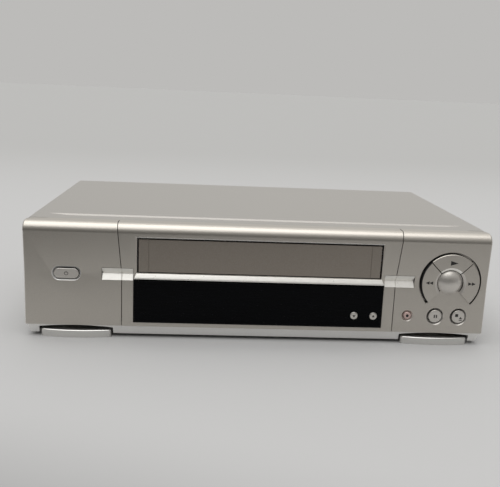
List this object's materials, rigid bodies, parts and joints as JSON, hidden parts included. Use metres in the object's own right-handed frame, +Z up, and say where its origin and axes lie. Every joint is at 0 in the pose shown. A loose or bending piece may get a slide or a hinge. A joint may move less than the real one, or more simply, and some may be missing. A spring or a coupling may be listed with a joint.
{
  "type": "video cassette recorder",
  "caption": "Front-loading video cassette recorder with a flap door, a dark display window, a ring of tape keys round a dome, and a mains cord in a hank.",
  "frame": {"origin": "on the surface the feet stand on, under the middle of the machine", "axes": "+X to the right seen from the front, +Y from the front face to the rear panel, +Z up"},
  "size_m": [0.38, 0.3533, 0.0962],
  "materials": {
    "silver_plastic": "metallic silver-champagne paint",
    "key_plastic": "metallic silver-champagne paint",
    "record_plastic": "pinkish metallic",
    "trim_plastic": "light satin metallic",
    "bright_trim": "bright plated",
    "window_plastic": "smoked gloss",
    "foot_plastic": "satin metallic",
    "rubber": "matt",
    "cover_paint": "satin silver paint",
    "panel_paint": "satin black paint",
    "zinc_steel": "zinc plated",
    "screw_steel": "blackened",
    "circuit_board": "phenolic board",
    "black_plastic": "matt",
    "white_plastic": "matt",
    "display_glass": "dark fluorescent tube",
    "core_steel": "plain",
    "bare_aluminium": "machined",
    "nickel": "nickel plated",
    "cord_plastic": "flexible PVC",
    "tie_plastic": "paper and wire tie"
  },
  "bodies": {
    "case": {"aerial_sockets": "nickel", "belt_trims": "trim_plastic", "bezel_center": "silver_plastic", "bezel_left": "silver_plastic", "bezel_right": "silver_plastic", "capstan_motor": "core_steel", "carriage_frame": "zinc_steel", "case_screws": "screw_steel", "chassis_tray": "zinc_steel", "cord_hank": "cord_plastic", "cord_lead": "cord_plastic", "cord_tie": "tie_plastic", "deck_chassis": "zinc_steel", "display_module": "display_glass", "display_window": "window_plastic", "door_spring": "screw_steel", "drive_belts": "rubber", "front_board": "circuit_board", "front_feet": "foot_plastic", "heat_sink": "bare_aluminium", "loading_motor": "core_steel", "lower_drum": "bare_aluminium", "main_board": "circuit_board", "mains_plug": "cord_plastic", "rear_feet": "rubber", "rear_panel": "panel_paint", "scart_sockets": "black_plastic", "sill_strip": "bright_trim", "strain_relief": "cord_plastic", "tact_switches": "black_plastic", "tape_heads": "nickel", "top_cover": "cover_paint", "transformer": "core_steel", "tuner_can": "zinc_steel"},
    "cassette_door": {"cassette_door": "silver_plastic"},
    "play_key": {"play_key": "key_plastic"},
    "rewind_key": {"rewind_key": "key_plastic"},
    "fast_forward_key": {"fast_forward_key": "key_plastic"},
    "record_button": {"record_button": "record_plastic"},
    "pause_button": {"pause_button": "key_plastic"},
    "stop_button": {"stop_button": "key_plastic"},
    "power_button": {"power_button": "key_plastic"},
    "channel_down_button": {"channel_down_button": "key_plastic"},
    "channel_up_button": {"channel_up_button": "key_plastic"},
    "carriage_slider": {"carriage_slider": "zinc_steel"},
    "cassette_holder": {"cassette_holder": "zinc_steel"},
    "supply_reel": {"supply_reel": "black_plastic"},
    "takeup_reel": {"takeup_reel": "black_plastic"},
    "clutch_wheel": {"clutch_wheel": "black_plastic"},
    "capstan": {"capstan": "core_steel"},
    "upper_drum": {"upper_drum": "bare_aluminium"},
    "pinch_arm": {"pinch_arm": "zinc_steel"},
    "pinch_roller": {"pinch_roller": "rubber"},
    "idler_arm": {"idler_arm": "black_plastic"},
    "idler_wheel": {"idler_wheel": "rubber"},
    "supply_guide": {"supply_guide": "nickel"},
    "takeup_guide": {"takeup_guide": "nickel"},
    "cam_wheel": {"cam_wheel": "white_plastic"},
    "motor_pulley": {"motor_pulley": "black_plastic"},
    "tension_arm": {"tension_arm": "zinc_steel"}
  },
  "joints": [
    {"name": "door_hinge", "type": "hinge", "parent": "case", "child": "cassette_door", "pos_m": [0, -0.1115, 0.0865], "axis": [1, 0, 0], "range_deg": [0, 90], "stiffness_Nm_per_rad": 0.004},
    {"name": "play_press", "type": "slide", "parent": "case", "child": "play_key", "axis": [0, 1, 0], "range_m": [0, 0.001], "stiffness_N_per_m": 350},
    {"name": "rewind_press", "type": "slide", "parent": "case", "child": "rewind_key", "axis": [0, 1, 0], "range_m": [0, 0.001], "stiffness_N_per_m": 350},
    {"name": "fast_forward_press", "type": "slide", "parent": "case", "child": "fast_forward_key", "axis": [0, 1, 0], "range_m": [0, 0.001], "stiffness_N_per_m": 350},
    {"name": "record_press", "type": "slide", "parent": "case", "child": "record_button", "axis": [0, 1, 0], "range_m": [0, 0.001], "stiffness_N_per_m": 250},
    {"name": "pause_press", "type": "slide", "parent": "case", "child": "pause_button", "axis": [0, 1, 0], "range_m": [0, 0.001], "stiffness_N_per_m": 300},
    {"name": "stop_press", "type": "slide", "parent": "case", "child": "stop_button", "axis": [0, 1, 0], "range_m": [0, 0.001], "stiffness_N_per_m": 300},
    {"name": "power_press", "type": "slide", "parent": "case", "child": "power_button", "axis": [0, 1, 0], "range_m": [0, 0.001], "stiffness_N_per_m": 400},
    {"name": "channel_down_press", "type": "slide", "parent": "case", "child": "channel_down_button", "axis": [0, 1, 0], "range_m": [0, 0.001], "stiffness_N_per_m": 250},
    {"name": "channel_up_press", "type": "slide", "parent": "case", "child": "channel_up_button", "axis": [0, 1, 0], "range_m": [0, 0.001], "stiffness_N_per_m": 250},
    {"name": "carriage_travel", "type": "slide", "parent": "case", "child": "carriage_slider", "axis": [0, 1, 0], "range_m": [0, 0.062]},
    {"name": "holder_drop", "type": "slide", "parent": "carriage_slider", "child": "cassette_holder", "axis": [0, 0, -1], "range_m": [0, 0.019]},
    {"name": "supply_reel_spin", "type": "hinge", "parent": "case", "child": "supply_reel", "pos_m": [-0.046, -0.0385, 0.0322], "axis": [0, 0, 1], "continuous": true},
    {"name": "takeup_reel_spin", "type": "hinge", "parent": "case", "child": "takeup_reel", "pos_m": [0.046, -0.0385, 0.0322], "axis": [0, 0, 1], "continuous": true},
    {"name": "capstan_spin", "type": "hinge", "parent": "case", "child": "capstan", "pos_m": [0.062, 0.0415, 0.018], "axis": [0, 0, 1], "continuous": true},
    {"name": "clutch_spin", "type": "hinge", "parent": "case", "child": "clutch_wheel", "pos_m": [0, -0.0675, 0.024], "axis": [0, 0, 1], "continuous": true},
    {"name": "idler_swing", "type": "hinge", "parent": "case", "child": "idler_arm", "pos_m": [0, -0.0675, 0.037], "axis": [0, 0, 1], "range_deg": [-28, 28]},
    {"name": "idler_spin", "type": "hinge", "parent": "idler_arm", "child": "idler_wheel", "pos_m": [0, -0.0447, 0.0335], "axis": [0, 0, 1], "continuous": true},
    {"name": "drum_spin", "type": "hinge", "parent": "case", "child": "upper_drum", "pos_m": [0, 0.0685, 0.0362], "axis": [0.1028, 0, 0.9947], "continuous": true},
    {"name": "pinch_arm_swing", "type": "hinge", "parent": "case", "child": "pinch_arm", "pos_m": [0.092, 0.0335, 0.034], "axis": [0, 0, 1], "range_deg": [0, 15]},
    {"name": "pinch_roller_spin", "type": "hinge", "parent": "pinch_arm", "child": "pinch_roller", "pos_m": [0.062, 0.0327, 0.041], "axis": [0, 0, 1], "continuous": true},
    {"name": "cam_turn", "type": "hinge", "parent": "case", "child": "cam_wheel", "pos_m": [-0.084, 0.0775, 0.033], "axis": [0, 0, 1], "range_deg": [0, 270]},
    {"name": "takeup_guide_travel", "type": "slide", "parent": "case", "child": "takeup_guide", "axis": [0.3294, 0.9442, 0], "range_m": [0, 0.04554]},
    {"name": "supply_guide_travel", "type": "slide", "parent": "case", "child": "supply_guide", "axis": [-0.3294, 0.9442, 0], "range_m": [0, 0.04554]},
    {"name": "loading_pulley_spin", "type": "hinge", "parent": "case", "child": "motor_pulley", "pos_m": [-0.056, 0.0935, 0.0524], "axis": [0, 0, 1], "continuous": true},
    {"name": "tension_swing", "type": "hinge", "parent": "case", "child": "tension_arm", "pos_m": [-0.07, -0.0065, 0.033], "axis": [0, 0, 1], "range_deg": [-5, 20], "stiffness_Nm_per_rad": 0.002}
  ],
  "couplings": [
    {"joint": "clutch_spin", "follows": "capstan_spin", "ratio": 0.58333},
    {"joint": "idler_spin", "follows": "capstan_spin", "ratio": -0.51042},
    {"joint": "takeup_guide_travel", "follows": "cam_turn", "m_per_rad": 0.0096641},
    {"joint": "supply_guide_travel", "follows": "cam_turn", "m_per_rad": 0.0096641},
    {"joint": "loading_pulley_spin", "follows": "cam_turn", "ratio": 3.1429}
  ]
}
